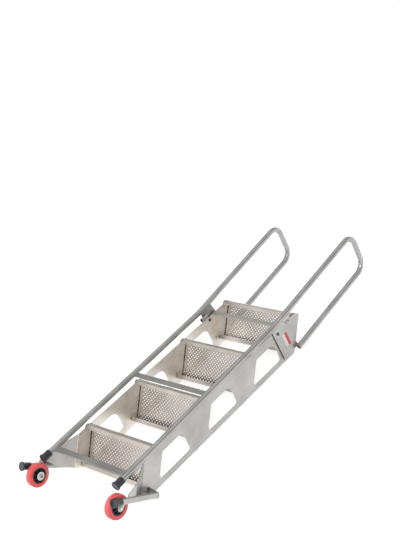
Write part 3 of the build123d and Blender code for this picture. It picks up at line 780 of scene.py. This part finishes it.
def rear_welds():
    """Beads at the leg braces' ends, and where the rails lie on their plates."""
    bm = bmesh.new()
    for sign in (-1, 1):
        for distance in LEG_BRACES:
            for up in (-1, 1):
                shift = Vector((-sign * (TUBE_RADIUS + BRACE_PROUD), 0, up * BRACE_SHEET / 2))
                ends = (distance - BRACE_WIDTH / 2, distance + BRACE_WIDTH / 2)
                bead(bm, [leg_axis(sign, end) + shift for end in ends], TUBE_BEAD)
        crevice = sign * (PLATE_FACE_X + PLATE_BEAD_PROUD)
        for span, down in (
            ((PLATE_BEAD_INSET, RAIL_PLATE_WIDTH - PLATE_BEAD_INSET), PLATE_BEAD_DOWN),
            ([SHORT_LEG_START + along for along in LAP_BEAD_SPAN], LOOP_WIDTH - PLATE_BEAD_DOWN),
        ):
            bead(bm, [loop_point(crevice, along, down) for along in span], PLATE_BEAD)
    weld_piece("rear_welds", bm, WELD_STEEL, "rear_frame")


for number in range(STEP_COUNT):
    step_sheet(number)
for hand, sign in (("left", -1), ("right", 1)):
    wheel(hand, sign)
    caps(hand, sign)
    corner_bolts(hand, sign)
    lock_bolt(hand, sign)
    hollow_shade_plug(hand, sign)
sticker()
step_seams()
foot_gussets()
foot_welds()
rear_welds()

# Studio: pale floor that is white to the camera and in reflections, and a soft room with a darker band
FLOOR_GLOW, FLOOR_ALBEDO, FLOOR_REACH, FLOOR_LEVEL = 0.66, 0.55, 15.0, -0.0004
ROOM_TONES = ((0.0, 0.96), (0.10, 0.92), (0.30, 0.58), (0.62, 0.50), (0.84, 0.90), (1.0, 1.0))
LIGHT_TARGET = Vector((0, 0, 0.1))
LIGHTS = (
    # name, place, size, power in watts, colour
    ("key", (2.8, -3.0, 3.4), 2.0, 70, (1.0, 0.985, 0.96)),
    ("left_front", (-3.2, -3.6, 1.9), 3.6, 34, (1.0, 0.955, 0.90)),
)


def white_to_sight(tree):
    """1 for camera, glossy and transmission rays, 0 for the rays that light the object."""
    path = tree.nodes.new("ShaderNodeLightPath")
    seen = path.outputs["Is Camera Ray"]
    for ray in ("Is Glossy Ray", "Is Transmission Ray"):
        larger = tree.nodes.new("ShaderNodeMath")
        larger.operation = "MAXIMUM"
        tree.links.new(seen, larger.inputs[0])
        tree.links.new(path.outputs[ray], larger.inputs[1])
        seen = larger.outputs["Value"]
    return seen


def soft_room():
    """World light by height: pale at the horizon, a darker band of wall, and a bright ceiling."""
    world = bpy.data.worlds.new("world")
    scene.world = world
    world.use_nodes = True
    tree = world.node_tree
    split = tree.nodes.new("ShaderNodeSeparateXYZ")
    tree.links.new(tree.nodes.new("ShaderNodeTexCoord").outputs["Generated"], split.inputs["Vector"])
    ramp = tree.nodes.new("ShaderNodeValToRGB")
    fill_ramp(ramp, [(position, (tone, tone, tone)) for position, tone in ROOM_TONES])
    tree.links.new(split.outputs["Z"], ramp.inputs["Fac"])
    tree.links.new(ramp.outputs["Color"], tree.nodes["Background"].inputs["Color"])


def white_floor():
    """Plain floor that keeps a soft shadow: part diffuse, part glow to the camera and in reflections."""
    mesh = bpy.data.meshes.new("floor")
    corners = ((-1, -1), (1, -1), (1, 1), (-1, 1))
    places = [(x * FLOOR_REACH, y * FLOOR_REACH, FLOOR_LEVEL) for x, y in corners]
    mesh.from_pydata(places, [], [(0, 1, 2, 3)])
    floor = bpy.data.objects.new("floor", mesh)
    scene.collection.objects.link(floor)
    material = bpy.data.materials.new("floor")
    material.use_nodes = True
    tree = material.node_tree
    tree.nodes.remove(tree.nodes["Principled BSDF"])
    diffuse = tree.nodes.new("ShaderNodeBsdfDiffuse")
    diffuse.inputs["Color"].default_value = (FLOOR_ALBEDO, FLOOR_ALBEDO, FLOOR_ALBEDO, 1)
    glow = tree.nodes.new("ShaderNodeEmission")
    level = tree.nodes.new("ShaderNodeMapRange")
    level.inputs["To Max"].default_value = FLOOR_GLOW
    tree.links.new(white_to_sight(tree), level.inputs["Value"])
    tree.links.new(level.outputs["Result"], glow.inputs["Strength"])
    both = tree.nodes.new("ShaderNodeAddShader")
    tree.links.new(diffuse.outputs[0], both.inputs[0])
    tree.links.new(glow.outputs[0], both.inputs[1])
    tree.links.new(both.outputs[0], tree.nodes["Material Output"].inputs["Surface"])
    mesh.materials.append(material)


def area_light(name, place, size, power, color):
    """A square soft light that faces the ladder."""
    data = bpy.data.lights.new(name, "AREA")
    data.shape = "SQUARE"
    data.size = size
    data.energy = power
    data.color = color
    lamp = bpy.data.objects.new(name, data)
    scene.collection.objects.link(lamp)
    lamp.location = place
    lamp.rotation_euler = (LIGHT_TARGET - Vector(place)).to_track_quat("-Z", "Y").to_euler()


soft_room()
white_floor()
for light in LIGHTS:
    area_light(*light)

# Camera, from the fit of the photograph: focal length in pixels of a 400 by 533 image
FOCAL_PX, IMAGE_HEIGHT = 1112.347, 533.0
CAMERA_PLACE = Vector((3.25662, -1.6470 - MIDDLE, 2.70956))
CAMERA_RIGHT = Vector((0.71548, 0.62943, -0.30316))
CAMERA_FORWARD = Vector((-0.68852, 0.56173, -0.45870))
SENSOR_HEIGHT, CLIP_END = 24.0, 60.0


def photo_camera():
    """Camera at the photograph's viewing angle."""
    data = bpy.data.cameras.new("camera")
    data.sensor_fit = "VERTICAL"
    data.sensor_height = SENSOR_HEIGHT
    data.lens = FOCAL_PX / IMAGE_HEIGHT * SENSOR_HEIGHT
    data.clip_end = CLIP_END
    camera = bpy.data.objects.new("camera", data)
    scene.collection.objects.link(camera)
    scene.camera = camera
    forward = CAMERA_FORWARD.normalized()
    up = CAMERA_RIGHT.cross(forward).normalized()
    right = forward.cross(up).normalized()
    axes = Matrix((right, up, -forward)).transposed().to_4x4()
    camera.matrix_world = Matrix.Translation(CAMERA_PLACE) @ axes


photo_camera()
scene.view_settings.view_transform = "Standard"
